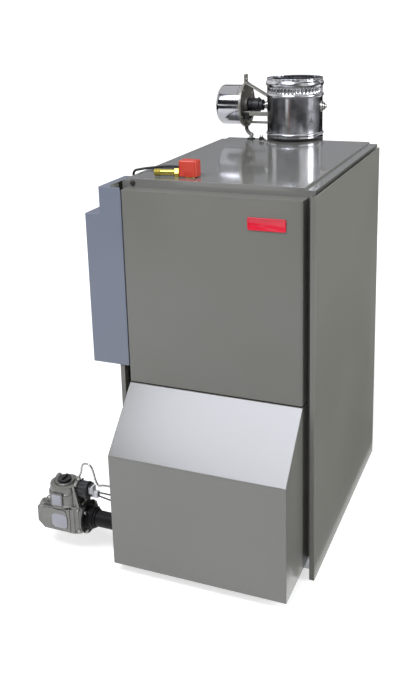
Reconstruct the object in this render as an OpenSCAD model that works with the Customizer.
/* [Cabinet] */
// Width over the two side panels
cab_w = 394; // [384:1:410]
// Depth of the side panels
cab_d = 528; // [520:1:560]
// Height of the side panels above the floor
side_h = 749; // [740:1:790]
// How far the lid stands above the side panels
lid_rise = 8; // [5:0.5:12]
// Thickness of the jacket's sheet steel
sheet_t = 1.2; // [0.8:0.1:1.5]
// Width of the folded front edge of a side panel
front_flange = 10; // [8:0.5:14]
// Depth that the folded front edge turns back into the cabinet
flange_return = 15; // [10:1:25]
// Width of the folded rear edge of a side panel
rear_flange = 12; // [8:1:20]
// How far the rear panel is set in from the side panels' back edges
rear_recess = 28; // [26:1:34]
// Height of the base pan's rim
base_rim = 28; // [20:1:34]

/* [Lid] */
// Width of the raised field of the lid
lid_field_w = 340; // [320:1:350]
// Drop from the raised field to the lid's side border
lid_step = 4; // [2:0.5:5]
// Gap between the lid's border and a side panel
lid_gap = 8; // [5:0.5:12]
// Height of the lid's front skirt
lid_skirt = 26; // [20:1:34]
// Height of the lid's side skirts
side_skirt = 12; // [8:1:16]
// How far the lid reaches past the side panels at the back
lid_overhang = 21; // [14:1:30]
// Gap round the vent pipe in the lid's rear notch
notch_gap = 5; // [3:0.5:8]

/* [Upper door] */
// Width of the upper door and of the access panel
door_w = 350; // [340:1:356]
// Height of the door's lower edge above the floor
door_bottom = 360; // [345:1:375]
// Drop from the side panels' top to the door's top
door_drop = 8.5; // [6:0.5:12]
// Thickness of the door pan
door_t = 34; // [28:1:38]
// How far the door stands proud of the side panels
door_proud = 3; // [1:0.5:6]
// Radius of the door's upright front edges
door_round = 5; // [2:0.5:8]
// Width of the folded rim at the back of the door
door_rim = 14; // [10:1:24]

/* [Access panel] */
// How far the access panel stands out in front of the door
panel_out = 104; // [90:1:115]
// Height of the fold between the slant and the upright face
fold_z = 251; // [235:1:265]
// Height of the access panel's lower edge above the floor
panel_foot = 20; // [14:1:28]
// Gap between the door and the access panel
panel_gap = 3; // [2:0.5:6]
// Depth of the lip under the access panel
panel_lip = 16; // [10:1:24]
// Lower edge of the pipe notch in the left cheek
notch_low = 44; // [36:1:48]
// Upper edge of the pipe notch in the left cheek
notch_high = 172; // [165:1:185]

/* [Name badge] */
// Width of the blank badge
badge_w = 71; // [60:1:85]
// Height of the blank badge
badge_h = 23; // [18:1:30]
// Thickness of the blank badge
badge_t = 2; // [1:0.5:3]
// Distance from the badge to the door's right edge
badge_side = 30; // [20:1:45]
// Distance from the badge to the door's top edge
badge_top = 34; // [25:1:50]

/* [Front frame] */
// Depth of the frame's rails and posts
frame_d = 22; // [16:1:26]
// Height of the frame's top rail
rail_h = 36; // [28:1:44]
// How far the middle rail laps the door and the access panel
rail_lap = 20; // [16:1:26]
// How far a post laps the door's side edge
post_lap = 12; // [8:1:20]

/* [Vestibule] */
// Distance of the inner panel behind the door's back
vestibule_set = 72; // [66:1:76]

/* [Control box] */
// How far the box stands out from the left side panel
box_out = 56; // [50:1:64]
// How far the box's narrow neck stands out
neck_out = 24; // [22:1:28]
// Height of the box's lower edge above the floor
box_bottom = 391; // [380:1:400]
// Height of the notch between box and neck
neck_z = 692; // [680:1:704]
// Drop from the side panels' top to the box's top
box_drop = 4; // [2:0.5:8]
// Depth of the box from front to back
box_d = 108; // [100:1:120]

/* [Controls] */
// Height of the relay module
module_h = 110; // [90:1:130]
// Width of the relay module
module_w = 40; // [34:1:42]
// Depth of the relay module
module_d = 52; // [40:1:60]
// Height of the relay module's lower edge above the box's floor
module_up = 140; // [125:1:150]
// Diameter of the limit dial
dial_d = 28; // [22:1:32]
// Thickness of the limit dial
dial_t = 8; // [6:0.5:12]
// Width of the transformer's iron core
core_w = 40; // [32:1:44]
// Height of the transformer's iron core
core_h = 48; // [40:1:56]
// Height of the transformer's core above the box's floor
core_up = 30; // [20:1:45]
// Thickness of the transformer's iron core
core_t = 18; // [14:1:24]

/* [Cast iron block] */
// Thickness of one cast iron section
section_t = 60; // [54:1:66]
// Distance between the sections' middles
section_pitch = 90; // [84:1:94]
// Depth of a section
section_d = 330; // [310:1:340]
// Height of a section
section_h = 410; // [390:1:425]
// Thickness of the cast iron walls
iron_t = 8; // [6:0.5:10]
// Distance from the vestibule panel to the block
block_set = 16; // [10:1:24]
// Outer diameter of a push nipple
nipple_d = 56; // [48:1:62]
// Inner diameter of a push nipple
nipple_bore = 46; // [38:1:46]
// Diameter of a tie rod
rod_d = 10; // [8:1:12]
// Diameter of a tie rod's nuts
nut_d = 20; // [17:1:24]

/* [Flue collector and draft hood] */
// Height of the flue collector
collector_h = 62; // [56:1:66]
// Width of the duct from the collector to the hood
duct_w = 120; // [100:1:135]
// Height of the duct from the collector to the hood
duct_h = 40; // [34:1:44]
// Width of the draft hood
hood_w = 170; // [165:1:180]
// Height of the draft hood's body
hood_h = 165; // [155:1:172]
// Room behind the vent pipe inside the draft hood
hood_room = 12; // [8:1:20]
// Drop from the lid to the draft hood's roof
hood_drop = 30; // [26:1:40]
// Height of the collar that the vent pipe sits on
collar_h = 22; // [16:1:25]

/* [Vent pipe] */
// Inner diameter of the vent pipe
vent_bore = 127; // [122:0.5:132]
// Wall of the vent pipe
vent_t = 1; // [0.8:0.1:1.2]
// Offset of the vent pipe from the cabinet's middle
vent_x = -12; // [-16:1:4]
// Distance of the vent pipe's axis behind the side panels
vent_back = 43; // [42:1:52]
// Height of the vent pipe above the lid
vent_h = 142; // [135:1:155]
// Height of the upper bead above the lid
bead_top_z = 131.5; // [129:0.5:133]
// Height of the middle bead above the lid
bead_mid_z = 105; // [102:0.5:108]
// Height of the lower bead above the lid
bead_low_z = 14; // [10:0.5:18]
// How far a bead stands out
bead_r = 3.2; // [2:0.2:4]
// Number of crimps between the two upper beads
crimps = 48; // [36:2:60]
// Depth of one crimp
crimp_r = 1; // [0.8:0.1:1.2]

/* [Damper] */
// Height of the damper's shaft above the lid
shaft_up = 76; // [70:1:82]
// Diameter of the damper's shaft
shaft_d = 8; // [7:0.5:9]
// Room between the damper blade and the pipe
blade_room = 2.5; // [2:0.5:4]
// Thickness of the damper blade
blade_t = 1.5; // [1:0.1:2.5]
// Running clearance of the shaft in its bearings
shaft_fit = 0.05; // [0.02:0.01:0.08]
// Diameter of the shaft's bearings
bearing_d = 18; // [14:1:22]
// Length of a bearing outside the pipe
bearing_l = 7; // [5:1:10]
// Diameter of the motor housing
can_d = 94; // [86:1:100]
// Length of the motor housing
can_l = 60; // [50:1:64]
// Diameter of the motor's mounting plate
plate_d = 106; // [102:1:112]
// Thickness of the motor's mounting plate
plate_t = 4; // [3:0.5:6]
// Distance of the mounting plate from the vent pipe's wall
plate_off = 56; // [50:1:62]
// Diameter of the shaft coupling
coupling_d = 32; // [26:1:36]
// Length of the shaft coupling
coupling_l = 36; // [28:1:38]
// Diameter of the damper's cable
cable_d = 9; // [7:0.5:10]

/* [Burners] */
// Number of burners
burner_count = 4; // [3:1:4]
// Distance between burners
burner_pitch = 60; // [54:1:62]
// Diameter of a burner tube
burner_d = 30; // [26:1:34]
// Diameter of a burner's mouth
mouth_d = 42; // [38:1:46]
// Wall of the burner box
burner_wall = 8; // [6:0.5:12]
// Width of the burner box
burner_box_w = 300; // [286:1:310]
// Height of the burner box
burner_box_h = 170; // [160:1:176]
// Height of the burner box above the floor
burner_box_up = 46; // [40:1:50]

/* [Gas train] */
// Height of the manifold's axis above the floor
gas_z = 74; // [72:0.5:78]
// Distance of the manifold's axis in front of the door
gas_out = 53; // [50:1:58]
// Diameter of the manifold pipe
manifold_d = 32; // [28:0.5:34]
// Bore of the manifold pipe
manifold_bore = 25; // [20:0.5:26]
// Distance from the access panel's side to the union
union_out = 60; // [50:1:66]
// Diameter of the union's nut
union_d = 46; // [42:1:60]
// Length of the union's nut
union_l = 12; // [10:1:16]
// Diameter of the black flange on the valve
flange_d = 67; // [60:1:76]
// Thickness of the black flange on the valve
flange_l = 10; // [8:1:14]
// Width of the gas valve's base
valve_w = 104; // [96:1:110]
// Height of the gas valve's base
valve_h = 60; // [54:1:66]
// Depth of the gas valve's base
valve_d = 50; // [48:1:58]
// Chamfer on the corners of the valve's front
valve_chamfer = 14; // [10:1:18]
// Width of the slanted facet at the gas valve's front right edge
valve_facet = 30; // [20:1:36]
// Diameter of the gas valve's head
head_d = 66; // [60:1:70]
// Height of the gas valve's head
head_h = 42; // [38:1:46]
// Diameter of the gas knob
knob_d = 27; // [22:1:30]
// Height of the gas knob
knob_h = 8; // [7:0.5:11]
// Diameter of the ring under the gas knob
ring_d = 38; // [34:1:42]
// Height of the ring under the gas knob
ring_h = 3; // [2:0.5:5]
// Diameter of the black regulator
regulator_d = 36; // [32:1:40]
// Length of the black regulator
regulator_l = 24; // [20:1:28]
// Radius of the gas inlet's bore
inlet_r = 10.3; // [9:0.1:11]
// Depth of the gas inlet's bore
inlet_l = 18; // [14:1:20]
// Diameter of the pilot gas tube
pilot_d = 4; // [3:0.5:4.5]
// Diameter of the ignition and sensing leads
lead_d = 3; // [2:0.5:3.5]

/* [Relief valve] */
// Distance of the relief valve left of the cabinet's middle
relief_x = 66; // [64:1:72]
// Distance of the relief valve behind the side panels' front
relief_in = 72; // [68:1:75]
// Width of the red cap
cap_w = 36; // [32:1:40]
// Depth of the red cap
cap_d = 26; // [25:1:32]
// Height of the red cap
cap_h = 31; // [28:1:36]
// Gap between the red cap and the lid
cap_gap = 1.5; // [1:0.5:4]
// Diameter of the relief valve's brass body
relief_d = 22; // [20:1:24]
// Diameter of the brass outlet
outlet_d = 14; // [12:0.5:15]
// Bore of the brass outlet
outlet_bore = 10; // [8:0.5:11]
// Length of the brass outlet past the cap
outlet_l = 50; // [40:1:58]
// Angle by which the outlet points forward
outlet_turn = 12; // [0:1:15]
// Diameter of the riser pipe
riser_d = 21; // [18:0.5:22]
// Height of the block's front tapping above the floor
riser_foot = 580; // [560:1:600]
// Diameter of the black lead on the lid
lid_lead_d = 5; // [4:0.5:6]

/* [Gauge] */
// Diameter of the gauge
gauge_d = 64; // [56:1:70]
// Depth of the gauge
gauge_t = 20; // [16:1:24]
// Height of the gauge above the floor
gauge_z = 580; // [570:1:590]

/* [Water connections] */
// Outer diameter of the supply and return pipes
pipe_d = 42.2; // [40:0.1:44]
// Bore of the supply and return pipes
pipe_bore = 35; // [32:0.5:36]
// How far the pipes stand out behind the rear panel
pipe_out = 60; // [50:1:70]
// Distance of the supply pipe's axis below the draft hood
supply_drop = 34; // [27:1:47]
// Height of the return pipe above the floor
return_z = 290; // [275:1:300]
// Height of the drain valve above the floor
drain_z = 262; // [258:1:275]
// Diameter of the drain valve's body
drain_d = 24; // [20:1:28]
// Diameter of the drain valve's handwheel
wheel_d = 44; // [36:1:50]
// Diameter of a jacket screw's head
screw_d = 9; // [7:0.5:10]

/* [Hidden] */
$fn = 64;

// Gap between pieces that come apart
seat = 0.3;
// Small overlap that lets a cut pass a face
cut = 1;

side_x = cab_w / 2;
side_in = side_x - sheet_t;
front_y = -cab_d / 2;
back_y = cab_d / 2;
rear_y = back_y - rear_recess;
lid_z = side_h + lid_rise;
pipe_x = section_pitch;
gauge_x = section_pitch;
rear_top = lid_z - lid_step - side_skirt;

door_x = door_w / 2;
door_front = front_y - door_proud;
door_back = door_front + door_t;
door_top = side_h - door_drop;
panel_top = door_bottom - panel_gap;
panel_front = door_front - panel_out;
slant = atan2(panel_top - fold_z, panel_out);

frame_front = door_back + seat;
frame_back = frame_front + frame_d;
vestibule_y = door_back + vestibule_set;
block_front = vestibule_y + sheet_t + block_set;
block_back = block_front + section_d;
block_low = burner_box_up + burner_box_h;
block_high = block_low + section_h;

box_x = -side_x - box_out;
neck_x = -side_x - neck_out;
box_top = side_h - box_drop;
box_front = door_front;
box_back = box_front + box_d;
tray_x = -side_x - seat;
tray_in = sheet_t + seat;

vent_r = vent_bore / 2;
vent_out = vent_r + vent_t;
vent_y = back_y + vent_back;
hood_top = lid_z - hood_drop;
hood_back = vent_y + vent_out + hood_room;
supply_z = hood_top - hood_h - supply_drop;
shaft_z = lid_z + shaft_up;
plate_x = vent_x - vent_out - plate_off;
bearing_x = vent_x + vent_out + bearing_l;
cable_at = [plate_x + 24, vent_y - 37, lid_z];

gas_y = door_front - gas_out;
burner_front = gas_y + manifold_d / 2 + 14;
burner_back = block_back - burner_wall - 6;
union_x = -door_x - union_out;
flange_x = union_x - union_l;
valve_right = flange_x - flange_l;
valve_left = valve_right - valve_w;
valve_mid = (valve_left + valve_right) / 2 + 4;
valve_low = gas_z - valve_h / 2;
valve_high = gas_z + valve_h / 2;
valve_back = gas_y + valve_d * 0.4;
valve_front = valve_back - valve_d;
head_top = valve_high + head_h;
port_z = head_top - 10;

relief_y = front_y + relief_in;
cap_low = lid_z + cap_gap;
cap_high = cap_low + cap_h;
outlet_z = lid_z + outlet_d / 2 + 1;

collector_top = block_high + collector_h;
duct_low = collector_top - duct_h - 8;
module_low = box_bottom + module_up;
dial_z = module_low + module_h / 2;
module_back = box_back - tray_in - 8;
module_front = module_back - module_d;

function unit(v) = v / norm(v);
function bend(a, b, c, d, t) = 0.5 * (2 * b + (c - a) * t + (2 * a - 5 * b + 4 * c - d) * t * t
    + (3 * b - a - 3 * c + d) * t * t * t);
function smooth(p, n) = concat(
    [for (i = [0:len(p) - 2]) for (k = [0:n - 1])
        bend(p[max(i - 1, 0)], p[i], p[i + 1], p[min(i + 2, len(p) - 1)], k / n)],
    [p[len(p) - 1]]);
function tangents(p) = [for (i = [0:len(p) - 1])
    unit(p[min(i + 1, len(p) - 1)] - p[max(i - 1, 0)])];
function normals(t) = [for (i = 0, n = unit(cross(t[0], [0.31, 0.87, 0.38])); i < len(t);
    i = i + 1, n = i < len(t) ? unit(n - (n * t[i]) * t[i]) : n) n];

// A round tube of radius r swept along a smoothed route
module swept(route, r, steps = 3, sides = 8) {
    p = smooth(route, steps);
    t = tangents(p);
    n = normals(t);
    rings = len(p);
    points = [for (i = [0:rings - 1]) for (k = [0:sides - 1])
        p[i] + r * (cos(360 * k / sides) * n[i] + sin(360 * k / sides) * cross(t[i], n[i]))];
    walls = [for (i = [0:rings - 2]) for (k = [0:sides - 1]) let (m = (k + 1) % sides)
        each [[i * sides + k, (i + 1) * sides + k, (i + 1) * sides + m],
            [i * sides + k, (i + 1) * sides + m, i * sides + m]]];
    first = [for (k = [0:sides - 1]) k];
    last = [for (k = [sides - 1:-1:0]) (rings - 1) * sides + k];
    polyhedron(points, concat([first], walls, [last]));
}

// A block given by its lowest and highest x, y and z
module block(x, y, z) {
    translate([x[0], y[0], z[0]]) cube([x[1] - x[0], y[1] - y[0], z[1] - z[0]]);
}

// A bar of radius r along x, y or z
module bar_x(r, x, y, z) {
    translate([x[0], y, z]) rotate([0, 90, 0]) cylinder(r = r, h = x[1] - x[0]);
}
module bar_y(r, x, y, z) {
    translate([x, y[0], z]) rotate([-90, 0, 0]) cylinder(r = r, h = y[1] - y[0]);
}
module bar_z(r, x, y, z) {
    translate([x, y, z[0]]) cylinder(r = r, h = z[1] - z[0]);
}

// A plate cut to an outline: upright facing front, or upright facing the side
module plate_y(outline, y) {
    translate([0, y[1], 0]) rotate([90, 0, 0]) linear_extrude(y[1] - y[0]) polygon(outline);
}
module plate_x(outline, x) {
    translate([x[0], 0, 0]) rotate([90, 0, 90]) linear_extrude(x[1] - x[0]) polygon(outline);
}

// Cabinet
module base_pan() color("dimgray") difference() {
    block([-side_in, side_in], [frame_front, rear_y - sheet_t], [0, base_rim]);
    block([-side_in + sheet_t, side_in - sheet_t], [frame_front + sheet_t, rear_y - 2 * sheet_t],
        [sheet_t, base_rim + cut]);
}

module side_panel(side) {
    face = side * side_x;
    inner = side * side_in;
    edge = side * (side_x - front_flange);
    x0 = min(face, inner);
    x1 = max(face, inner);
    block([x0, x1], [front_y, back_y], [0, side_h]);
    block([min(face, edge), max(face, edge)], [front_y, front_y + sheet_t], [0, side_h]);
    block([min(edge, edge + side * sheet_t), max(edge, edge + side * sheet_t)],
        [front_y, front_y + flange_return], [0, side_h]);
    block([min(face, face - side * rear_flange), max(face, face - side * rear_flange)],
        [back_y - sheet_t, back_y], [0, rear_top]);
    block([min(face, face - side * 3), max(face, face - side * 3)],
        [front_y, back_y], [side_h - sheet_t, side_h]);
}
module side_panel_left() color("dimgray") side_panel(-1);
module side_panel_right() color("dimgray") side_panel(1);

module rear_panel() color("gray") difference() {
    union() {
        block([-side_in, side_in], [rear_y - sheet_t, rear_y], [0, rear_top]);
        for (s = [-1, 1])
            block([min(s * side_in, s * (side_in - rear_flange)),
                max(s * side_in, s * (side_in - rear_flange))],
                [rear_y - rear_flange, rear_y], [base_rim, rear_top]);
    }
    for (s = [-1, 1])
        block([min(s * (side_in - sheet_t), s * (side_in - rear_flange - cut)),
            max(s * (side_in - sheet_t), s * (side_in - rear_flange - cut))],
            [rear_y - rear_flange - cut, rear_y - sheet_t], [base_rim - cut, rear_top + cut]);
    block([vent_x - duct_w / 2 - seat, vent_x + duct_w / 2 + seat], [rear_y - 3 * sheet_t, rear_y + cut],
        [duct_low - seat, duct_low + duct_h + seat]);
    for (z = [supply_z, return_z])
        bar_y(pipe_d / 2 + seat, pipe_x, [rear_y - 3 * sheet_t, rear_y + cut], z);
    bar_y(drain_d / 2 + seat, -pipe_x, [rear_y - 3 * sheet_t, rear_y + cut], drain_z);
}

module top_panel() color("gray") {
    lid_front = frame_front;
    lid_back = back_y + lid_overhang;
    field = lid_field_w / 2;
    border = side_in - lid_gap;
    border_z = lid_z - lid_step;
    difference() {
        union() {
            block([-field, field], [lid_front, lid_back], [lid_z - sheet_t, lid_z]);
            for (s = [-1, 1]) {
                block([min(s * field, s * (field - sheet_t)), max(s * field, s * (field - sheet_t))],
                    [lid_front, lid_back], [border_z - sheet_t, lid_z]);
                block([min(s * (field - sheet_t), s * border), max(s * (field - sheet_t), s * border)],
                    [lid_front, lid_back], [border_z - sheet_t, border_z]);
                block([min(s * border, s * (border - sheet_t)), max(s * border, s * (border - sheet_t))],
                    [lid_front, lid_back], [border_z - side_skirt, border_z]);
            }
            block([-border, border], [lid_front, lid_front + sheet_t], [lid_z - lid_skirt, border_z]);
            block([-field, field], [lid_front, lid_front + sheet_t], [border_z - sheet_t, lid_z]);
        }
        bar_z(vent_out + notch_gap, vent_x, vent_y, [lid_z - 4 * lid_rise, lid_z + cut]);
        bar_z(riser_d / 2 + seat, -relief_x, relief_y, [lid_z - lid_rise, lid_z + cut]);
        bar_z(lid_lead_d / 2 + 3, grommet_at[0], grommet_at[1], [lid_z - lid_rise, lid_z + cut]);
        bar_z(cable_d / 2 + 3, cable_at[0], cable_at[1], [lid_z - lid_rise, lid_z + cut]);
    }
}

module front_frame() color("dimgray") {
    post_in = door_x - post_lap;
    for (s = [-1, 1])
        block([min(s * post_in, s * side_in), max(s * post_in, s * side_in)],
            [frame_front, frame_back], [base_rim, door_top - rail_h]);
    block([-side_in + lid_gap + sheet_t, side_in - lid_gap - sheet_t], [frame_front, frame_back],
        [door_top - rail_h, lid_z - lid_skirt]);
    block([-post_in, post_in], [frame_front, frame_back], [panel_top - rail_lap, door_bottom + rail_lap]);
}

module vestibule_panel() color("silver") difference() {
    block([-side_in, side_in], [vestibule_y, vestibule_y + sheet_t], [block_low, lid_z - lid_skirt]);
    bar_y(riser_d / 2 + seat, -section_pitch, [vestibule_y - cut, vestibule_y + sheet_t + cut], riser_foot);
    bar_y(gauge_d / 2 - 8, gauge_x, [vestibule_y - cut, vestibule_y + sheet_t + cut], gauge_z);
}

module insulation_boards() color("khaki") {
    board_in = 1.5 * section_pitch + nut_d / 2 + 6;
    for (s = [-1, 1])
        block([min(s * board_in, s * side_in), max(s * board_in, s * side_in)],
            [vestibule_y + sheet_t, rear_y - rear_flange], [block_low, block_high]);
    block([-side_in, side_in], [vestibule_y + sheet_t, rear_y - rear_flange],
        [collector_top, collector_top + 12]);
}

// Door and access panel
module door_shape(inset, y) {
    r = max(door_round - inset, 0.5);
    x = door_x - inset;
    translate([-x, y[0] + r]) square([2 * x, y[1] - y[0] - r]);
    translate([-x + r, y[0]]) square([2 * (x - r), r]);
    for (s = [-1, 1]) translate([s * (x - r), y[0] + r]) circle(r = r);
}
module upper_door() color("gray") difference() {
    translate([0, 0, door_bottom]) linear_extrude(door_top - door_bottom)
        door_shape(0, [door_front, door_back]);
    translate([0, 0, door_bottom + sheet_t]) linear_extrude(door_top - door_bottom - 2 * sheet_t)
        door_shape(sheet_t, [door_front + sheet_t, door_back - sheet_t]);
    block([-door_x + door_rim, door_x - door_rim], [door_back - 2 * sheet_t, door_back + cut],
        [door_bottom + door_rim, door_top - door_rim]);
}

module name_badge() color("crimson") {
    r = badge_h / 7;
    x0 = door_x - badge_side - badge_w;
    z0 = door_top - badge_top - badge_h;
    translate([x0, door_front, z0]) rotate([90, 0, 0]) linear_extrude(badge_t) {
        translate([0, r]) square([badge_w, badge_h - 2 * r]);
        translate([r, 0]) square([badge_w - 2 * r, badge_h]);
        for (x = [r, badge_w - r]) for (z = [r, badge_h - r]) translate([x, z]) circle(r = r);
    }
}

// Profile of the access panel, drawn in by the inset d
function panel_profile(d) = let (
    y0 = panel_front + d,
    ztop = panel_top - d,
    zfold = fold_z - d * (1 - sin(slant)) / cos(slant),
    ytop = panel_front + (d + (ztop - fold_z) * cos(slant)) / sin(slant))
    [[door_back + 2 * d, panel_foot + d], [y0, panel_foot + d], [y0, zfold], [ytop, ztop],
        [door_back + 2 * d, ztop]];
module lower_panel() color("lightgray") difference() {
    plate_x(panel_profile(0), [-door_x, door_x]);
    plate_x(panel_profile(sheet_t), [-door_x + sheet_t, door_x - sheet_t]);
    block([-door_x + panel_lip, door_x - panel_lip], [panel_front + panel_lip, door_back + cut],
        [panel_foot - cut, panel_foot + 2 * sheet_t]);
    block([-door_x - cut, -door_x + 2 * sheet_t], [gas_y - manifold_d / 2 - 4, door_back + cut],
        [notch_low, notch_high]);
}

// Control box on the left side
function box_outline(d) = [[tray_x, box_bottom + d], [box_x + d, box_bottom + d],
    [box_x + d, neck_z - d], [neck_x + d, neck_z - d], [neck_x + d, box_top - d], [tray_x, box_top - d]];
module control_box_cover() color("slategray") {
    plate_y([[-door_x - 1.5, box_bottom], [box_x, box_bottom], [box_x, neck_z], [neck_x, neck_z],
        [neck_x, box_top], [-door_x - 1.5, box_top]], [box_front, box_front + sheet_t]);
    difference() {
        plate_y(box_outline(0), [box_front, box_back]);
        plate_y(concat([[0, box_bottom + sheet_t]], [for (i = [1:4]) box_outline(sheet_t)[i]],
            [[0, box_top - sheet_t]]), [box_front + sheet_t / 2, box_back + cut]);
    }
}
module control_box_back() color("slategray") {
    x1 = tray_x;
    block([x1 - sheet_t, x1 + seat], [box_front + 6, box_back],
        [box_bottom + tray_in, box_top - tray_in]);
    difference() {
        plate_y(box_outline(tray_in), [box_back - 2 * sheet_t, box_back]);
        for (z = [box_bottom + 40, box_bottom + 80]) bar_y(7, -side_x - box_out / 2,
            [box_back - 3 * sheet_t, box_back + cut], z);
        bar_y(5, -side_x - neck_out / 2, [box_back - 3 * sheet_t, box_back + cut], box_top - 24);
    }
    for (z = [module_low + 16, module_low + module_h - 28])
        block([-side_x - box_out / 2 - 8, -side_x - box_out / 2 + 8], [module_back, box_back - 2 * sheet_t],
            [z, z + 12]);
}
module relay_module() color("whitesmoke") {
    x0 = -side_x - box_out / 2 - module_w / 2;
    block([x0, x0 + module_w], [module_front + 10, module_back], [module_low, module_low + module_h]);
    block([x0 + 3, x0 + module_w - 3], [module_front, module_front + 10],
        [module_low + 4, module_low + module_h - 4]);
    bar_y(3, -side_x - box_out / 2, [module_front - dial_t / 2, module_front], dial_z);
    for (k = [0:3]) block([x0 + 6 + k * 8, x0 + 11 + k * 8], [module_front - 3, module_front],
        [module_low + 10, module_low + 18]);
}
module limit_dial() color("black") difference() {
    union() {
        bar_y(dial_d / 2, -side_x - box_out / 2, [module_front - dial_t, module_front - seat], dial_z);
        block([-side_x - box_out / 2 - 1.5, -side_x - box_out / 2 + 1.5],
            [module_front - dial_t - 3, module_front - dial_t],
            [dial_z - dial_d / 2 + 2, dial_z + dial_d / 2 - 2]);
    }
    bar_y(3.05, -side_x - box_out / 2, [module_front - dial_t / 2 - 0.5, module_front + cut], dial_z);
}
module transformer() color("darkslategray") {
    x = -side_x - box_out / 2;
    z0 = box_bottom + core_up;
    block([x - core_w / 2, x + core_w / 2], [module_back - core_t - 10, module_back - 10],
        [z0, z0 + core_h]);
    bar_y(core_h / 2 - 8, x, [module_back - core_t - 20, module_back], z0 + core_h / 2);
    for (z = [z0 + 3, z0 + core_h - 11])
        block([tray_x - sheet_t - 12, tray_x - sheet_t], [module_back - core_t - 10, module_back - 6],
            [z, z + 8]);
}
module cable_glands() color("black") {
    for (z = [box_bottom + 40, box_bottom + 80]) {
        bar_y(6.8, -side_x - box_out / 2, [box_back - 3 * sheet_t, box_back], z);
        bar_y(10, -side_x - box_out / 2, [box_back, box_back + 8], z);
        bar_y(6, -side_x - box_out / 2, [box_back + 8, box_back + 20], z);
    }
    difference() {
        union() {
            bar_y(4.8, -side_x - neck_out / 2, [box_back - 3 * sheet_t, box_back], box_top - 24);
            bar_y(7.5, -side_x - neck_out / 2, [box_back, box_back + 4], box_top - 24);
        }
        bar_y(lid_lead_d / 2, -side_x - neck_out / 2, [box_back - 4 * sheet_t, box_back + 5], box_top - 24);
    }
}

// Cast iron block
port_low = block_low + 52;
port_high = block_high - 52;
port_y = block_back - 50;
rod_y = [block_front + 40, block_back - 100];
module section(x, left_port, right_port) color("dimgray") {
    x0 = x - section_t / 2;
    x1 = x + section_t / 2;
    difference() {
        union() {
            block([x0, x1], [block_front, block_back], [block_low, block_high]);
            for (z = [block_low + 110:36:block_high - 110]) for (s = [-1, 1])
                block([min(x + s * section_t / 2, x + s * (section_t / 2 + 6)),
                    max(x + s * section_t / 2, x + s * (section_t / 2 + 6))],
                    [block_front + 70, block_back - 110], [z, z + 10]);
        }
        block([x0 + iron_t, x1 - iron_t], [block_front + iron_t, block_back - iron_t],
            [block_low + iron_t, block_high - iron_t]);
        for (z = [port_low, port_high]) {
            if (left_port) bar_x(nipple_d / 2, [x0 - cut, x0 + iron_t + cut], port_y, z);
            if (right_port) bar_x(nipple_d / 2, [x1 - iron_t - cut, x1 + cut], port_y, z);
        }
        for (y = rod_y) for (z = [block_low + 24, block_high - 24])
            bar_x(rod_d / 2 + 1, [x0 - cut, x1 + cut], y, z);
        if (left_port == false) {
            bar_y(riser_d / 2, -section_pitch, [block_front - cut, block_front + iron_t + cut], riser_foot);
            bar_y(drain_d / 2, -pipe_x, [block_back - iron_t - cut, block_back + cut], drain_z);
        }
        if (right_port == false) for (z = [supply_z, return_z])
            bar_y(pipe_d / 2, pipe_x, [block_back - iron_t - cut, block_back + cut], z);
    }
}
module section_left() section(-section_pitch, false, true);
module section_middle() section(0, true, true);
module section_right() section(section_pitch, true, false);
module push_nipples() color("silver") {
    gap = section_pitch - section_t;
    for (s = [-1, 1]) for (z = [port_low, port_high])
        translate([s * section_pitch / 2, port_y, z]) rotate([0, 90, 0]) difference() {
            cylinder(d = nipple_d, h = gap + 2 * iron_t, center = true);
            cylinder(d = nipple_bore, h = gap + 2 * iron_t + cut, center = true);
        }
}
module tie_rods() color("goldenrod") {
    end = section_pitch + section_t / 2;
    for (y = rod_y) for (z = [block_low + 24, block_high - 24]) {
        bar_x(rod_d / 2, [-end - 12, end + 12], y, z);
        for (s = [-1, 1]) translate([s * (end + 4), y, z]) rotate([0, 90, 0])
            cylinder(d = nut_d, h = 8, center = true, $fn = 6);
    }
}
module flue_collector() color("gray") {
    cx = section_pitch + section_t / 2;
    difference() {
        block([-cx, cx], [block_front, block_back], [block_high, collector_top]);
        block([-cx + 2, cx - 2], [block_front + 2, block_back - 2], [block_high - cut, collector_top - 2]);
        block([vent_x - duct_w / 2 + 2, vent_x + duct_w / 2 - 2], [block_back - 4, block_back + cut],
            [duct_low + 2, duct_low + duct_h - 2]);
    }
    difference() {
        block([vent_x - duct_w / 2, vent_x + duct_w / 2], [block_back, rear_y],
            [duct_low, duct_low + duct_h]);
        block([vent_x - duct_w / 2 + 2, vent_x + duct_w / 2 - 2], [block_back - cut, rear_y + cut],
            [duct_low + 2, duct_low + duct_h - 2]);
    }
}

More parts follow.
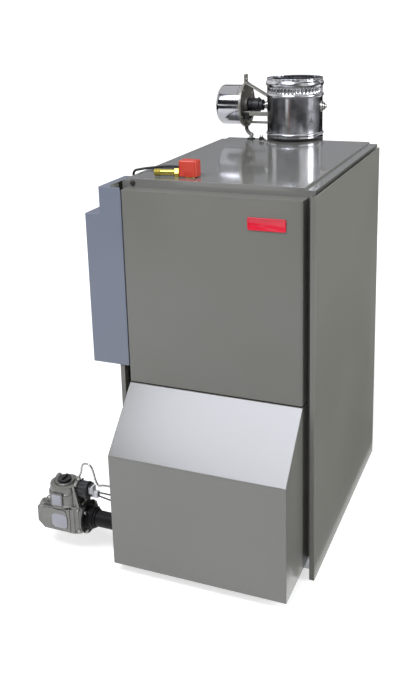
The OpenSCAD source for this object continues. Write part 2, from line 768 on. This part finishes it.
// Burners and gas train
burner_x = [for (k = [0:burner_count - 1]) (k - (burner_count - 1) / 2) * burner_pitch];
module combustion_base() color("tan") {
    bx = burner_box_w / 2;
    difference() {
        block([-bx, bx], [block_front - 20, block_back], [burner_box_up, block_low]);
        block([-bx + burner_wall, bx - burner_wall],
            [block_front - 20 + burner_wall, block_back - burner_wall],
            [burner_box_up + burner_wall, block_low + cut]);
        block([-bx + 14, bx - 14], [block_front - 21, block_front + burner_wall],
            [burner_box_up + burner_wall, gas_z + mouth_d]);
    }
    for (x = [-bx, bx - 20]) for (y = [block_front - 20, block_back - 20])
        block([x, x + 20], [y, y + 20], [sheet_t, burner_box_up]);
}
module burners() color("silver") {
    for (x = burner_x) difference() {
        union() {
            bar_y(burner_d / 2, x, [burner_front + 26, burner_back], gas_z);
            translate([x, burner_front, gas_z]) rotate([-90, 0, 0])
                cylinder(r1 = mouth_d / 2, r2 = burner_d / 2, h = 26);
            block([x - 4, x + 4], [block_back - burner_wall - 40, block_back - burner_wall - 28],
                [burner_box_up + burner_wall, gas_z]);
            block([x - 4, x + 4], [block_front + 2, block_front + 14], [burner_box_up + burner_wall, gas_z]);
        }
        bar_y(burner_d / 2 - 1.5, x, [burner_front + 25, burner_back - 2], gas_z);
        translate([x, burner_front - 0.01, gas_z]) rotate([-90, 0, 0])
            cylinder(r1 = mouth_d / 2 - 1.5, r2 = burner_d / 2 - 1.5, h = 26.02);
        for (y = [block_front + 30:24:burner_back - 20])
            block([x - 6, x + 6], [y, y + 3], [gas_z + burner_d / 4, gas_z + burner_d]);
    }
}
module manifold_pipe() color("black") {
    end = burner_x[burner_count - 1] + 26;
    difference() {
        bar_x(manifold_d / 2, [union_x, end], gas_y, gas_z);
        bar_x(manifold_bore / 2, [union_x - cut, end - 4], gas_y, gas_z);
        for (x = burner_x) bar_y(4, x, [gas_y + manifold_bore / 4, gas_y + manifold_d], gas_z);
    }
    bar_x(manifold_d / 2 + 3, [end, end + 14], gas_y, gas_z);
    hanger_z = fold_z - 24;
    for (x = [burner_x[0] - 14, end - 8]) {
        block([x - 8, x + 8], [gas_y - 2, gas_y + 2], [gas_z + manifold_bore / 2 + 1, hanger_z]);
        block([x - 8, x + 8], [gas_y - 2, frame_front], [hanger_z, hanger_z + 2]);
        block([x - 8, x + 8], [frame_front - 2, frame_front], [hanger_z, panel_top - 4]);
    }
}
module orifices() color("goldenrod") for (x = burner_x) difference() {
    union() {
        bar_y(4, x, [gas_y + manifold_bore / 2, gas_y + manifold_d / 2 + 2], gas_z);
        translate([x, gas_y + manifold_d / 2 + 2, gas_z]) rotate([-90, 0, 0]) cylinder(r = 7, h = 6, $fn = 6);
        bar_y(3.5, x, [gas_y + manifold_d / 2 + 8, gas_y + manifold_d / 2 + 14], gas_z);
    }
    bar_y(0.9, x, [gas_y + manifold_bore / 2 - cut, gas_y + manifold_d], gas_z);
}
// The pilot burner stands on the second gap between burners
pilot_x = burner_x[1] - burner_pitch / 2;
pilot_y = block_front - 40;
pilot_z = gas_z + mouth_d + 8;
module pilot_burner() color("silver") {
    block([pilot_x - 16, pilot_x + 16], [block_front - 22, block_front - 20], [pilot_z - 4, pilot_z + 30]);
    block([pilot_x - 16, pilot_x + 16], [pilot_y, block_front - 22], [pilot_z - 4, pilot_z - 1]);
    bar_z(5, pilot_x - 9, pilot_y + 8, [pilot_z - 10, pilot_z + 18]);
    bar_z(2.5, pilot_x + 1, pilot_y + 8, [pilot_z - 10, pilot_z + 24]);
    bar_z(2.5, pilot_x + 10, pilot_y + 8, [pilot_z - 10, pilot_z + 20]);
}
module rollout_switch() color("black") {
    x = -pilot_x + 20;
    block([x - 14, x + 14], [block_front - 21.5, block_front - 20], [pilot_z, pilot_z + 24]);
    bar_y(8, x, [block_front - 30, block_front - 21.5], pilot_z + 12);
    for (s = [-1, 1]) block([x + s * 4 - 0.5, x + s * 4 + 0.5], [block_front - 38, block_front - 30],
        [pilot_z + 9, pilot_z + 15]);
}
module gas_valve_body() color("darkgray") {
    c = valve_chamfer;
    difference() {
        union() {
            plate_y([[valve_left + c, valve_low], [valve_right - c / 2, valve_low],
                [valve_right, valve_low + c / 2], [valve_right, valve_high - c],
                [valve_right - c / 2, valve_high], [valve_left + c, valve_high],
                [valve_left, valve_high - c], [valve_left, valve_low + c]], [valve_front + 5, valve_back]);
            plate_y([[valve_left + c + 4, valve_low + 4], [valve_right - c, valve_low + 4],
                [valve_right - 6, valve_low + c], [valve_right - 6, valve_high - c - 4],
                [valve_right - c, valve_high - 5], [valve_left + c + 4, valve_high - 5],
                [valve_left + 5, valve_high - c - 4], [valve_left + 5, valve_low + c + 2]],
                [valve_front, valve_front + 5]);
            bar_x(inlet_r + 7, [valve_left - 4, valve_left], gas_y, gas_z);
        }
        translate([0, 0, valve_low - cut]) linear_extrude(valve_h + 2 * cut)
            polygon([[valve_right - valve_facet, valve_front], [valve_right - valve_facet, valve_front - cut],
                [valve_right + cut, valve_front - cut], [valve_right + cut, valve_front + valve_facet / 2]]);
        bar_x(inlet_r, [valve_left - 4 - cut, valve_left - 4 + inlet_l], gas_y, gas_z);
        bar_x(manifold_bore / 2, [valve_right - 16, valve_right + cut], gas_y, gas_z);
    }
}
module gas_valve_head() color("gray") {
    y = gas_y - 4;
    x1 = valve_mid + head_d / 2;
    bar_z(head_d / 2, valve_mid, y, [valve_high, head_top - 10]);
    translate([valve_mid, y, head_top - 10]) cylinder(r1 = head_d / 2, r2 = head_d / 2 - 6, h = 10);
    bar_z(ring_d / 2, valve_mid, y, [head_top, head_top + ring_h]);
    bar_z(3, valve_mid, y, [head_top + ring_h, head_top + ring_h + knob_h / 2]);
    block([x1 - 5, x1], [y - regulator_d / 2, y + regulator_d / 2], [valve_high, port_z + regulator_d / 2]);
    block([valve_mid - 12, valve_mid + 12], [y - head_d / 2 - 1.5, y - head_d / 2 + 8],
        [valve_high + 5, valve_high + 31]);
    for (x = [valve_left + 16, valve_right - 8]) bar_z(4, x, y - 6, [valve_high, valve_high + 6]);
}
module gas_valve_knob() color("black") difference() {
    y = gas_y - 4;
    z0 = head_top + ring_h + seat;
    union() {
        bar_z(knob_d / 2, valve_mid, y, [z0, z0 + knob_h - 3]);
        block([valve_mid - 2.5, valve_mid + 2.5], [y - knob_d / 2 + 1, y + knob_d / 2 - 1],
            [z0 + knob_h - 3, z0 + knob_h]);
    }
    bar_z(3.05, valve_mid, y, [z0 - cut, z0 + knob_h / 2 + 0.2]);
}
module gas_regulator() color("black")
    bar_x(regulator_d / 2, [valve_mid + head_d / 2, valve_mid + head_d / 2 + regulator_l], gas_y - 4, port_z);
module valve_connector() color("lightgray") {
    x = valve_mid + head_d / 2 + regulator_l;
    z = port_z - 2;
    block([x, x + 10], [gas_y - 10, gas_y + 4], [z - 4, z + 14]);
    block([x + 10, x + 19], [gas_y - 8, gas_y + 2], [z - 10, z + 4]);
    block([x + 2, x + 10], [gas_y - 8, gas_y + 2], [z - 10, z - 4]);
}
module manifold_union() color("black") {
    difference() {
        union() {
            bar_x(flange_d / 2, [valve_right, flange_x - 6], gas_y, gas_z);
            bar_x(flange_d / 2 - 9, [flange_x - 6, flange_x], gas_y, gas_z);
            translate([flange_x, gas_y, gas_z]) rotate([0, 90, 0])
                cylinder(d = union_d, h = union_l - 8, $fn = 8);
            bar_x(union_d / 2 - 4, [union_x - 8, union_x], gas_y, gas_z);
        }
        bar_x(manifold_bore / 2, [valve_right - cut, union_x + cut], gas_y, gas_z);
    }
}
pilot_start = [valve_mid + head_d / 2 - 2.5, gas_y - 2, port_z + regulator_d / 2];
lead_start = [valve_mid + head_d / 2 + regulator_l + 19, gas_y - 3, port_z - 1];
// Way of a lead from the access panel's notch to the foot of the pilot burner at x
function lead_way(s, x, edge_z, run_z) = [
    [-door_x - 14, s[1], edge_z + 1], [-door_x + 6, s[1] + 2, edge_z], [-door_x + 36, gas_y + 24, run_z + 12],
    [x - 44, pilot_y - 34, run_z + 1], [x - 12, pilot_y + 4, run_z],
    [x, pilot_y + 8, pilot_z - 15], [x, pilot_y + 8, pilot_z - 10]];
module pilot_tube() color("silver") {
    s = pilot_start;
    swept(concat([s, s + [0, 0, 2], s + [0, 0, 4], s + [4, 0, 10], s + [8.5, 0, 20], s + [10, 0, 30],
        s + [15, 0, 37], s + [24, 0, 39], s + [32, -1, 35], s + [37, -1, 22], s + [41, -2, 8],
        s + [48, -3, -2], s + [60, -4, 1]],
        lead_way(s + [0, -6, 0], pilot_x - 9, gas_z + 82, pilot_z - 17)), pilot_d / 2);
}
module ignition_lead() color("black")
    swept(concat([lead_start, lead_start + [8, 0, 0]],
        lead_way(lead_start, pilot_x + 1, gas_z + 60, pilot_z - 22)), lead_d / 2);
module thermocouple_lead() color("gray") {
    s = lead_start - [0, 0, 8];
    swept(concat([s, s + [8, 0, -1]],
        lead_way(s, pilot_x + 10, gas_z + 46, pilot_z - 27)), lead_d / 2);
}

// Relief valve on the lid
module relief_riser() color("dimgray") difference() {
    union() {
        bar_z(riser_d / 2, -relief_x, relief_y, [riser_foot, lid_z]);
        bar_x(riser_d / 2, [-section_pitch, -relief_x], relief_y, riser_foot);
        bar_y(riser_d / 2, -section_pitch, [relief_y, block_front + iron_t], riser_foot);
        for (x = [-section_pitch, -relief_x])
            translate([x, relief_y, riser_foot]) sphere(r = riser_d / 2 + 2);
    }
    bar_z(riser_d / 2 - 3, -relief_x, relief_y, [riser_foot, lid_z + cut]);
    bar_x(riser_d / 2 - 3, [-section_pitch, -relief_x], relief_y, riser_foot);
    bar_y(riser_d / 2 - 3, -section_pitch, [relief_y, block_front + iron_t + cut], riser_foot);
}
module relief_valve_body() color("goldenrod") difference() {
    union() {
        bar_z(relief_d / 2, -relief_x, relief_y, [lid_z, cap_low + 18]);
        bar_z(4, -relief_x, relief_y, [cap_low + 18, cap_high - 4]);
    }
    bar_z(riser_d / 2 - 4, -relief_x, relief_y, [lid_z - cut, lid_z + 4]);
    translate([-relief_x, relief_y, outlet_z]) rotate([0, 0, 180 + outlet_turn]) rotate([0, 90, 0])
        cylinder(r = outlet_d / 2, h = relief_d);
}
module relief_cap() color("red") translate([-relief_x, relief_y, 0]) difference() {
    intersection() {
        block([-cap_w / 2, cap_w / 2], [-cap_d / 2, cap_d / 2], [cap_low, cap_high]);
        bar_z(norm([cap_w, cap_d]) / 2 - 1.5, 0, 0, [cap_low, cap_high]);
    }
    bar_z(relief_d / 2 + seat, 0, 0, [cap_low - cut, cap_low + 18 + seat]);
    bar_z(4.05, 0, 0, [cap_low - cut, cap_high - 3.5]);
    translate([0, 0, cap_low - cut]) linear_extrude(outlet_d + 1) for (a = [150:10:180])
        rotate(a + outlet_turn) translate([0, -outlet_d / 2 - 1]) square([60, outlet_d + 2]);
}
module relief_outlet() color("goldenrod")
    translate([-relief_x, relief_y, outlet_z]) rotate([0, 0, 180 + outlet_turn]) rotate([0, 90, 0])
    difference() {
        union() {
            translate([0, 0, riser_d / 2 - 2])
                cylinder(d = outlet_d, h = cap_w / 2 + outlet_l - riser_d / 2 + 2);
            translate([0, 0, cap_w / 2 + outlet_l - 12]) cylinder(d = outlet_d + 2, h = 12);
        }
        translate([0, 0, riser_d / 2 - 3]) cylinder(d = outlet_bore, h = cap_w / 2 + outlet_l);
    }

grommet_at = [-relief_x - 9, relief_y + 41, lid_z];
module lid_lead() color("black") {
    drop_x = -side_x - neck_out / 2;
    swept([grommet_at + [0, 0, -14], grommet_at + [0, 0, -6], grommet_at + [0, 0, 3],
        grommet_at + [-1.5, 1, 9], grommet_at + [-5, 3.5, 13.5], grommet_at + [-9.5, 7, 15],
        grommet_at + [-14.5, 11, 13.5], grommet_at + [-20.5, 15, 9], grommet_at + [-26, 19.5, 5],
        grommet_at + [-32, 24, 3], grommet_at + [-46, 31.5, 3], grommet_at + [-63, 33, 3],
        grommet_at + [-78, 26, 3], grommet_at + [-91, 15, 3], grommet_at + [-105, 8, 2],
        grommet_at + [-115, 5.5, 0.5], [-side_x, box_back + 13, side_h + 7],
        [drop_x + 6, box_back + 13, side_h + 5.5], [drop_x + 1.5, box_back + 13.5, side_h + 1],
        [drop_x, box_back + 14.5, side_h - 5], [drop_x, box_back + 16, side_h - 11],
        [drop_x, box_back + 16, box_top - 13], [drop_x, box_back + 14.5, box_top - 18.5],
        [drop_x, box_back + 10.5, box_top - 22.5], [drop_x, box_back + 5, box_top - 24],
        [drop_x, box_back - 1, box_top - 24], [drop_x, box_back - 6, box_top - 24]], lid_lead_d / 2, 2);
}
module grommet(at, r) translate(at) difference() {
    union() {
        translate([0, 0, -sheet_t]) cylinder(r = r + 3, h = sheet_t);
        cylinder(r = r + 5, h = 2.5);
        translate([0, 0, -sheet_t - 2]) cylinder(r = r + 5, h = 2);
    }
    translate([0, 0, -sheet_t - 3]) cylinder(r = r + seat, h = sheet_t + 7);
}
module lid_grommets() color("black") {
    grommet(grommet_at, lid_lead_d / 2);
    grommet(cable_at, cable_d / 2);
}

// Pressure and temperature gauge behind the door
module gauge_body() color("silver") difference() {
    union() {
        bar_y(gauge_d / 2, gauge_x, [vestibule_y - gauge_t, vestibule_y], gauge_z);
        bar_y(gauge_d / 2 - 9, gauge_x, [vestibule_y, vestibule_y + 4], gauge_z);
        bar_y(5, gauge_x, [vestibule_y, block_front], gauge_z);
    }
    difference() {
        bar_y(gauge_d / 2 - 3, gauge_x, [vestibule_y - gauge_t - cut, vestibule_y - gauge_t + 8], gauge_z);
        bar_y(1.5, gauge_x, [vestibule_y - gauge_t + 3, vestibule_y], gauge_z);
    }
}
module gauge_needle() color("black") difference() {
    y = vestibule_y - gauge_t + 5;
    union() {
        plate_y([[gauge_x - 2, gauge_z - 12], [gauge_x + 2, gauge_z - 12],
            [gauge_x + 0.7, gauge_z + gauge_d / 2 - 8],
            [gauge_x - 0.7, gauge_z + gauge_d / 2 - 8]], [y, y + 1.2]);
        bar_y(4, gauge_x, [y - 0.5, y + 1.7], gauge_z);
    }
    bar_y(1.55, gauge_x, [y - 2, y + 4], gauge_z);
}

// Water connections at the back
module nipple(z) difference() {
    union() {
        bar_y(pipe_d / 2, pipe_x, [block_back - iron_t, rear_y + pipe_out], z);
        bar_y(pipe_d / 2 + 5, pipe_x, [rear_y + seat, rear_y + 5], z);
    }
    bar_y(pipe_bore / 2, pipe_x, [block_back - iron_t - cut, rear_y + pipe_out + cut], z);
}
module supply_nipple() color("dimgray") nipple(supply_z);
module return_nipple() color("dimgray") nipple(return_z);
drain_y = rear_y + 34;
module drain_valve_body() color("goldenrod") difference() {
    union() {
        bar_y(drain_d / 2 - 2, -pipe_x, [block_back - iron_t, rear_y + 4], drain_z);
        bar_y(drain_d / 2 - 4, -pipe_x, [rear_y + 4, drain_y], drain_z);
        bar_y(drain_d / 2 + 3, -pipe_x, [rear_y + seat, rear_y + 6], drain_z);
        translate([-pipe_x, drain_y, drain_z]) sphere(d = drain_d);
        bar_z(9, -pipe_x, drain_y, [drain_z - 34, drain_z]);
        bar_z(12, -pipe_x, drain_y, [drain_z - 34, drain_z - 22]);
        bar_z(8, -pipe_x, drain_y, [drain_z, drain_z + 20]);
        bar_z(3, -pipe_x, drain_y, [drain_z + 20, drain_z + 34]);
    }
    bar_z(6, -pipe_x, drain_y, [drain_z - 35, drain_z - 10]);
}
module drain_handle() color("firebrick") difference() {
    union() {
        bar_z(6, -pipe_x, drain_y, [drain_z + 20 + seat, drain_z + 30]);
        difference() {
            bar_z(wheel_d / 2, -pipe_x, drain_y, [drain_z + 22, drain_z + 28]);
            bar_z(wheel_d / 2 - 5, -pipe_x, drain_y, [drain_z + 21, drain_z + 29]);
        }
        for (a = [0:60:120]) translate([-pipe_x, drain_y, drain_z + 25]) rotate([0, 0, a])
            cube([wheel_d - 6, 5, 4], center = true);
    }
    bar_z(3.05, -pipe_x, drain_y, [drain_z + 19, drain_z + 31]);
}

// Draft hood and vent pipe
module draft_hood() color("lightgray") {
    x0 = vent_x - hood_w / 2;
    x1 = vent_x + hood_w / 2;
    difference() {
        block([x0, x1], [rear_y, hood_back], [hood_top - hood_h, hood_top]);
        block([x0 + sheet_t, x1 - sheet_t], [rear_y + sheet_t, hood_back - sheet_t],
            [hood_top - hood_h - cut, hood_top - sheet_t]);
        block([vent_x - duct_w / 2 + 2, vent_x + duct_w / 2 - 2], [rear_y - cut, rear_y + 2 * sheet_t],
            [duct_low + 2, duct_low + duct_h - 2]);
        bar_z(vent_r - sheet_t - seat, vent_x, vent_y, [hood_top - 3 * sheet_t, hood_top + cut]);
    }
    difference() {
        bar_z(vent_r - seat, vent_x, vent_y, [hood_top, hood_top + collar_h]);
        bar_z(vent_r - sheet_t - seat, vent_x, vent_y, [hood_top - cut, hood_top + collar_h + cut]);
    }
}
module bead(z) translate([vent_x, vent_y, z]) rotate_extrude() translate([vent_out - 0.4, 0])
    intersection() {
        scale([0.8, 1]) circle(r = bead_r + 0.8, $fn = 32);
        translate([0, -10]) square([10, 20]);
    }
module vent_barrel() color("silver") {
    top = lid_z + vent_h;
    crimp_low = lid_z + bead_mid_z + bead_r + 4;
    crimp_high = lid_z + bead_top_z - bead_r - 2;
    difference() {
        union() {
            bar_z(vent_out, vent_x, vent_y, [hood_top + seat, top]);
            bead(lid_z + bead_top_z);
            bead(lid_z + bead_mid_z);
            bead(lid_z + bead_low_z);
            for (k = [0:crimps - 1]) translate([vent_x, vent_y, crimp_low]) rotate([0, 0, 360 * k / crimps])
                translate([vent_out, 0, 0]) cylinder(r = crimp_r, h = crimp_high - crimp_low, $fn = 13);
            bar_x(bearing_d / 2, [bearing_x - bearing_l - vent_t, bearing_x], vent_y, shaft_z);
            bar_x(bearing_d / 2, [vent_x - vent_out - bearing_l, vent_x - vent_out + 1], vent_y, shaft_z);
        }
        bar_z(vent_r, vent_x, vent_y, [hood_top, top + cut]);
        bar_x(shaft_d / 2 + shaft_fit, [vent_x - vent_out - bearing_l - cut, bearing_x + cut],
            vent_y, shaft_z);
    }
}
module damper_blade() color("lightgray") difference() {
    r = vent_r - blade_room;
    translate([vent_x, vent_y, shaft_z]) rotate([90, 0, 0]) cylinder(r = r, h = blade_t, center = true);
    bar_x(shaft_d / 2, [vent_x - r - cut, vent_x + r + cut], vent_y, shaft_z);
}
module damper_shaft() color("dimgray") {
    bar_x(shaft_d / 2, [plate_x + 2 * plate_t, bearing_x + 5], vent_y, shaft_z);
    bar_x(coupling_d / 2, [plate_x + plate_t / 2 + seat + 6, plate_x + plate_t / 2 + 6 + coupling_l],
        vent_y, shaft_z);
    for (x = [plate_x + 20, plate_x + 32])
        bar_z(2.5, x, vent_y, [shaft_z + coupling_d / 2 - 1, shaft_z + coupling_d / 2 + 3]);
}
module motor_can() color("silver") {
    x0 = plate_x - plate_t / 2 - can_l;
    r = can_d / 2;
    difference() {
        union() {
            bar_x(r, [x0 + 6, plate_x - plate_t / 2], vent_y, shaft_z);
            translate([x0, vent_y, shaft_z]) rotate([0, 90, 0]) cylinder(r1 = r - 6, r2 = r, h = 6);
        }
        bar_x(r - 1.5, [x0 + 8, plate_x], vent_y, shaft_z);
    }
    bar_x(r / 2, [x0 + 16, plate_x - plate_t / 2], vent_y, shaft_z);
}
module motor_plate() color("dimgray") difference() {
    union() {
        bar_x(plate_d / 2, [plate_x - plate_t / 2, plate_x + plate_t / 2], vent_y, shaft_z);
        bar_x(coupling_d / 2 + 6, [plate_x + plate_t / 2, plate_x + plate_t / 2 + 6], vent_y, shaft_z);
        block([plate_x - plate_t / 2, plate_x + plate_t / 2], [vent_y - 9, vent_y + 9],
            [shaft_z + plate_d / 2 - 2, shaft_z + plate_d / 2 + 19]);
    }
    bar_x(5, [plate_x - plate_t, plate_x + plate_t], vent_y, shaft_z + plate_d / 2 + 10);
    bar_x(shaft_d / 2 + shaft_fit, [plate_x - plate_t, plate_x + plate_t / 2 + 6 + cut], vent_y, shaft_z);
}
module motor_arms() color("lightgray") {
    x0 = plate_x + plate_t / 2;
    x1 = vent_x - vent_out;
    wide = 22;
    low = shaft_z - plate_d / 2 + 10;
    high = shaft_z + plate_d / 2;
    difference() {
        union() {
            block([x0, vent_x], [vent_y - wide / 2, vent_y + wide / 2], [low, low + 3]);
            block([x0, x0 + 3], [vent_y - wide / 2, vent_y + wide / 2], [low, low + 14]);
            translate([0, vent_y + wide / 2, 0]) rotate([90, 0, 0]) linear_extrude(wide) polygon([[x0, high],
                [x0, high - 3], [x1 + 4, shaft_z + 17], [x1 + 4, shaft_z + 20]]);
            block([x0, x0 + 3], [vent_y - wide / 2, vent_y + wide / 2], [high - 14, high]);
            block([x0, vent_x], [vent_y - 34, vent_y - 31], [shaft_z - 22, shaft_z - 12]);
        }
        bar_z(vent_out, vent_x, vent_y, [low - 10, high + 10]);
    }
}
module damper_cable() color("black") {
    s = [plate_x, vent_y, shaft_z - plate_d / 2 - seat];
    swept([s, s + [0, 0, -2], s + [0, 0, -4], s + [5, -8, -8], s + [15, -23, -11],
        cable_at + [1, 3, 10], cable_at + [0, 0, 4], cable_at + [0, 0, -14]], cable_d / 2);
}
module spill_switch() color("black") {
    x = vent_x - vent_out + 1;
    y = back_y - 15;
    block([x - 8, x + 8], [y - 8, y + 8], [lid_z, lid_z + 1.5]);
    bar_z(6, x, y, [lid_z + 1.5, lid_z + 9]);
    for (s = [-1, 1]) block([x + s * 3 - 0.5, x + s * 3 + 0.5], [y - 2, y + 2], [lid_z + 9, lid_z + 14]);
}

// Hexagon screws that hold the jacket together
module screw(at, turn) translate(at) rotate(turn) {
    cylinder(d = screw_d, h = 3, $fn = 6);
    cylinder(d = screw_d + 3, h = 1);
}
module jacket_screws() color("silver") {
    for (s = [-1, 1]) {
        for (z = [60, side_h / 2, side_h - 60])
            screw([s * (side_in - rear_flange / 2 - 20), rear_y, z], [-90, 0, 0]);
    }
    screw([4 - lid_field_w / 2, frame_front, lid_z - 9], [90, 0, 0]);
}

base_pan();
side_panel_left();
side_panel_right();
rear_panel();
top_panel();
front_frame();
vestibule_panel();
insulation_boards();
upper_door();
name_badge();
lower_panel();
control_box_back();
control_box_cover();
relay_module();
limit_dial();
transformer();
cable_glands();
section_left();
section_middle();
section_right();
push_nipples();
tie_rods();
flue_collector();
combustion_base();
burners();
manifold_pipe();
orifices();
pilot_burner();
rollout_switch();
gas_valve_body();
gas_valve_head();
gas_valve_knob();
gas_regulator();
valve_connector();
manifold_union();
pilot_tube();
ignition_lead();
thermocouple_lead();
relief_riser();
relief_valve_body();
relief_cap();
relief_outlet();
lid_lead();
lid_grommets();
gauge_body();
gauge_needle();
supply_nipple();
return_nipple();
drain_valve_body();
drain_handle();
draft_hood();
vent_barrel();
damper_blade();
damper_shaft();
motor_can();
motor_plate();
motor_arms();
damper_cable();
spill_switch();
jacket_screws();
